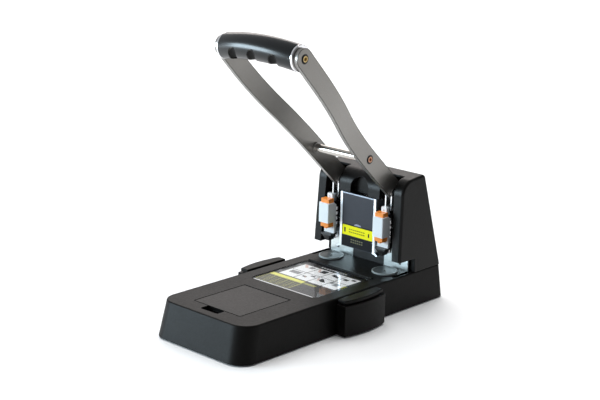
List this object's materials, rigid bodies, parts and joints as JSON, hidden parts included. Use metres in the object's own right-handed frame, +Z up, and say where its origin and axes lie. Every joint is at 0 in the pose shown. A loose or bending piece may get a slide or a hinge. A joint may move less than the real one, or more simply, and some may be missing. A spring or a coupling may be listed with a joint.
{
  "type": "lever hole punch",
  "caption": "Heavy-duty desk hole punch: a long arched lever drives two spring-returned punches through a paper stack on a deep base with side guides.",
  "frame": {"origin": "centre of the base's footprint, on the table", "axes": "+X to the right seen from the front, +Y to the rear where the tower stands, +Z up"},
  "size_m": [0.168, 0.325, 0.3172],
  "materials": {
    "housing_black": "fine moulded texture",
    "guide_black": "fine moulded texture",
    "lid_grey": "fine moulded texture",
    "foot_rubber": "matt",
    "printed_card": "plain card",
    "window_clear": "clear plastic",
    "disc_plastic": "satin",
    "zinc_steel": "bright zinc plate",
    "frame_black": "satin black",
    "dark_steel": "blackened",
    "panel_slate": "dark slate with plain coloured bands",
    "arm_steel": "satin nickel plate",
    "bright_steel": "ground and polished",
    "bush_brass": "turned",
    "grip_black": "soft gloss",
    "carrier_white": "white",
    "cartridge_orange": "orange",
    "presser_black": "black"
  },
  "bodies": {
    "frame": {"base_shell": "housing_black", "bottom_cover": "housing_black", "bottom_screws": "zinc_steel", "rubber_feet": "foot_rubber", "guide_card": "printed_card", "clear_window": "window_clear", "bed_plate": "zinc_steel", "side_plate_left": "zinc_steel", "side_plate_right": "zinc_steel", "back_plate": "frame_black", "paper_stop_left": "zinc_steel", "paper_stop_right": "zinc_steel", "stop_screws": "dark_steel", "throat_block": "frame_black", "panel_bracket": "zinc_steel", "label_panel": "panel_slate", "panel_rail": "zinc_steel", "tower_housing": "housing_black", "lever_shaft": "bright_steel", "shaft_clips": "dark_steel", "shaft_spacers": "bright_steel", "guide_block_left": "zinc_steel", "guide_block_right": "zinc_steel", "return_spring_left": "dark_steel", "return_spring_right": "dark_steel", "bar_runner": "housing_black"},
    "lever": {"arm_left": "arm_steel", "arm_right": "arm_steel", "hub_bushes": "bush_brass", "crank_pins": "dark_steel", "crossbar": "bright_steel", "crossbar_collars": "dark_steel", "grip_rod": "bright_steel", "grip_rings": "bright_steel", "hand_grip": "grip_black", "lever_screws": "bush_brass"},
    "lid": {"storage_lid": "lid_grey"},
    "link_left": {"link_plates_left": "bright_steel"},
    "punch_left": {"punch_head_left": "dark_steel", "punch_pin_left": "bright_steel", "wrist_pin_left": "dark_steel"},
    "presser_left": {"foot_carrier_left": "carrier_white", "cartridge_left": "cartridge_orange", "sleeve_left": "carrier_white", "presser_foot_left": "presser_black"},
    "disc_left": {"cutting_disc_left": "disc_plastic"},
    "guide_left": {"side_guide_left": "guide_black", "guide_bars_left": "bright_steel"},
    "link_right": {"link_plates_right": "bright_steel"},
    "punch_right": {"punch_head_right": "dark_steel", "punch_pin_right": "bright_steel", "wrist_pin_right": "dark_steel"},
    "presser_right": {"foot_carrier_right": "carrier_white", "cartridge_right": "cartridge_orange", "sleeve_right": "carrier_white", "presser_foot_right": "presser_black"},
    "disc_right": {"cutting_disc_right": "disc_plastic"},
    "guide_right": {"side_guide_right": "guide_black", "guide_bars_right": "bright_steel"}
  },
  "joints": [
    {"name": "lever_swing", "type": "hinge", "parent": "frame", "child": "lever", "pos_m": [0, 0.11346, 0.12075], "axis": [1, 0, 0], "range_deg": [0, 55], "stiffness_Nm_per_rad": 3, "springref_deg": -40.11},
    {"name": "link_swing_left", "type": "hinge", "parent": "lever", "child": "link_left", "pos_m": [-0.039, 0.0955, 0.1301], "axis": [1, 0, 0], "range_deg": [-55, 0]},
    {"name": "punch_stroke_left", "type": "slide", "parent": "frame", "child": "punch_left", "axis": [0, 0, -1], "range_m": [0, 0.01875], "deforming": ["return_spring_left"]},
    {"name": "presser_stroke_left", "type": "slide", "parent": "frame", "child": "presser_left", "axis": [0, 0, -1], "range_m": [0, 0.01855]},
    {"name": "disc_turn_left", "type": "hinge", "parent": "frame", "child": "disc_left", "pos_m": [-0.04, 0.0887, 0.0393], "axis": [0, 0, 1], "continuous": true},
    {"name": "guide_slide_left", "type": "slide", "parent": "frame", "child": "guide_left", "axis": [-1, 0, 0], "range_m": [0, 0.0809]},
    {"name": "link_swing_right", "type": "hinge", "parent": "lever", "child": "link_right", "pos_m": [0.039, 0.0955, 0.1301], "axis": [1, 0, 0], "range_deg": [-55, 0]},
    {"name": "punch_stroke_right", "type": "slide", "parent": "frame", "child": "punch_right", "axis": [0, 0, -1], "range_m": [0, 0.01875], "deforming": ["return_spring_right"]},
    {"name": "presser_stroke_right", "type": "slide", "parent": "frame", "child": "presser_right", "axis": [0, 0, -1], "range_m": [0, 0.01855]},
    {"name": "disc_turn_right", "type": "hinge", "parent": "frame", "child": "disc_right", "pos_m": [0.04, 0.0887, 0.0393], "axis": [0, 0, 1], "continuous": true},
    {"name": "guide_slide_right", "type": "slide", "parent": "frame", "child": "guide_right", "axis": [1, 0, 0], "range_m": [0, 0.0809]},
    {"name": "lid_hinge", "type": "hinge", "parent": "frame", "child": "lid", "pos_m": [0, -0.06, 0.0385], "axis": [-1, 0, 0], "range_deg": [0, 100]}
  ],
  "couplings": [
    {"joint": "link_swing_left", "follows": "lever_swing", "ratio": -1},
    {"joint": "punch_stroke_left", "follows": "lever_swing", "m_per_rad": 0.019481},
    {"joint": "presser_stroke_left", "follows": "lever_swing", "m_per_rad": 0.019273},
    {"joint": "link_swing_right", "follows": "lever_swing", "ratio": -1},
    {"joint": "punch_stroke_right", "follows": "lever_swing", "m_per_rad": 0.019481},
    {"joint": "presser_stroke_right", "follows": "lever_swing", "m_per_rad": 0.019273}
  ]
}
